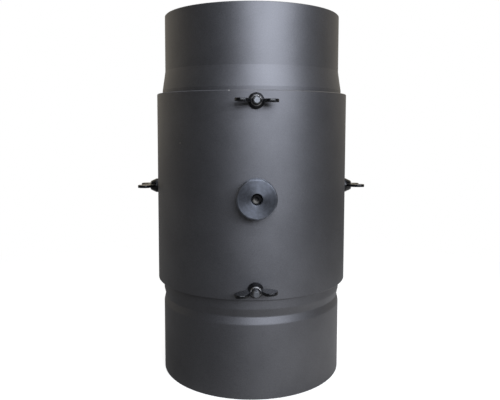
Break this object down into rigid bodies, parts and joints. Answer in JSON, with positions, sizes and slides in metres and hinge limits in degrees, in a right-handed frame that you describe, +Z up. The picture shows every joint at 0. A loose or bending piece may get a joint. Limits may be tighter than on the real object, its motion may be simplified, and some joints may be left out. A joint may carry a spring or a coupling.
{
  "type": "stove pipe particulate filter",
  "caption": "Upright steel flue pipe section with socket, stop bead and spigot, a bolted-on curved front cover, and a knob that turns a round ceramic honeycomb filter inside.",
  "frame": {"origin": "on the pipe's axis at the bottom rim of the socket", "axes": "+Z up along the pipe, towards the spigot; the knob and cover face -Y"},
  "size_m": [0.196, 0.1827, 0.3032],
  "materials": {
    "flue_paint": "satin",
    "black_hardware": "gloss",
    "zinc": "bright",
    "turned_steel": "satin",
    "spring_steel": "satin",
    "knob_steel": "turned",
    "knob_screw_steel": "satin",
    "stainless": "satin",
    "ceramic": "matt",
    "fibre": "matt"
  },
  "bodies": {
    "housing": {"pipe_body": "flue_paint", "cover": "flue_paint", "cover_gasket": "fibre", "stud_top": "zinc", "stud_bottom": "zinc", "stud_left": "zinc", "stud_right": "zinc", "shaft_bush": "turned_steel", "rear_bush": "flue_paint"},
    "filter": {"filter_band": "stainless", "support_mat": "fibre", "filter_honeycomb": "ceramic", "retaining_ring": "stainless", "drive_socket": "stainless", "rear_pivot_pin": "stainless", "knob_shaft": "turned_steel", "thrust_washer": "turned_steel", "disc_spring_1": "spring_steel", "disc_spring_2": "spring_steel", "turning_knob": "knob_steel", "knob_screw": "knob_screw_steel"},
    "top_washer": {"washer_top": "black_hardware"},
    "top_wing_nut": {"wing_nut_top": "black_hardware"},
    "bottom_washer": {"washer_bottom": "black_hardware"},
    "bottom_wing_nut": {"wing_nut_bottom": "black_hardware"},
    "left_washer": {"washer_left": "black_hardware"},
    "left_wing_nut": {"wing_nut_left": "black_hardware"},
    "right_washer": {"washer_right": "black_hardware"},
    "right_wing_nut": {"wing_nut_right": "black_hardware"}
  },
  "joints": [
    {"name": "filter_turn", "type": "hinge", "parent": "housing", "child": "filter", "pos_m": [0, -0.09, 0.1588], "axis": [0, -1, 0], "range_deg": [0, 90]},
    {"name": "top_nut_travel", "type": "slide", "parent": "housing", "child": "top_washer", "axis": [0, -1, 0], "range_m": [0, 0.00599]},
    {"name": "top_nut_turn", "type": "hinge", "parent": "top_washer", "child": "top_wing_nut", "pos_m": [0, -0.09, 0.2298], "axis": [0, -1, 0], "range_deg": [0, 2160]},
    {"name": "bottom_nut_travel", "type": "slide", "parent": "housing", "child": "bottom_washer", "axis": [0, -1, 0], "range_m": [0, 0.00599]},
    {"name": "bottom_nut_turn", "type": "hinge", "parent": "bottom_washer", "child": "bottom_wing_nut", "pos_m": [0, -0.09, 0.0883], "axis": [0, -1, 0], "range_deg": [0, 2160]},
    {"name": "left_nut_travel", "type": "slide", "parent": "housing", "child": "left_washer", "axis": [-1, 0, 0], "range_m": [0, 0.00399]},
    {"name": "left_nut_turn", "type": "hinge", "parent": "left_washer", "child": "left_wing_nut", "pos_m": [-0.09, 0, 0.1588], "axis": [-1, 0, 0], "range_deg": [0, 1440]},
    {"name": "right_nut_travel", "type": "slide", "parent": "housing", "child": "right_washer", "axis": [1, 0, 0], "range_m": [0, 0.00399]},
    {"name": "right_nut_turn", "type": "hinge", "parent": "right_washer", "child": "right_wing_nut", "pos_m": [0.09, 0, 0.1588], "axis": [1, 0, 0], "range_deg": [0, 1440]}
  ],
  "couplings": [
    {"joint": "top_nut_turn", "follows": "top_nut_travel", "rad_per_m": 6283.2},
    {"joint": "bottom_nut_turn", "follows": "bottom_nut_travel", "rad_per_m": 6283.2},
    {"joint": "left_nut_turn", "follows": "left_nut_travel", "rad_per_m": 6283.2},
    {"joint": "right_nut_turn", "follows": "right_nut_travel", "rad_per_m": 6283.2}
  ]
}
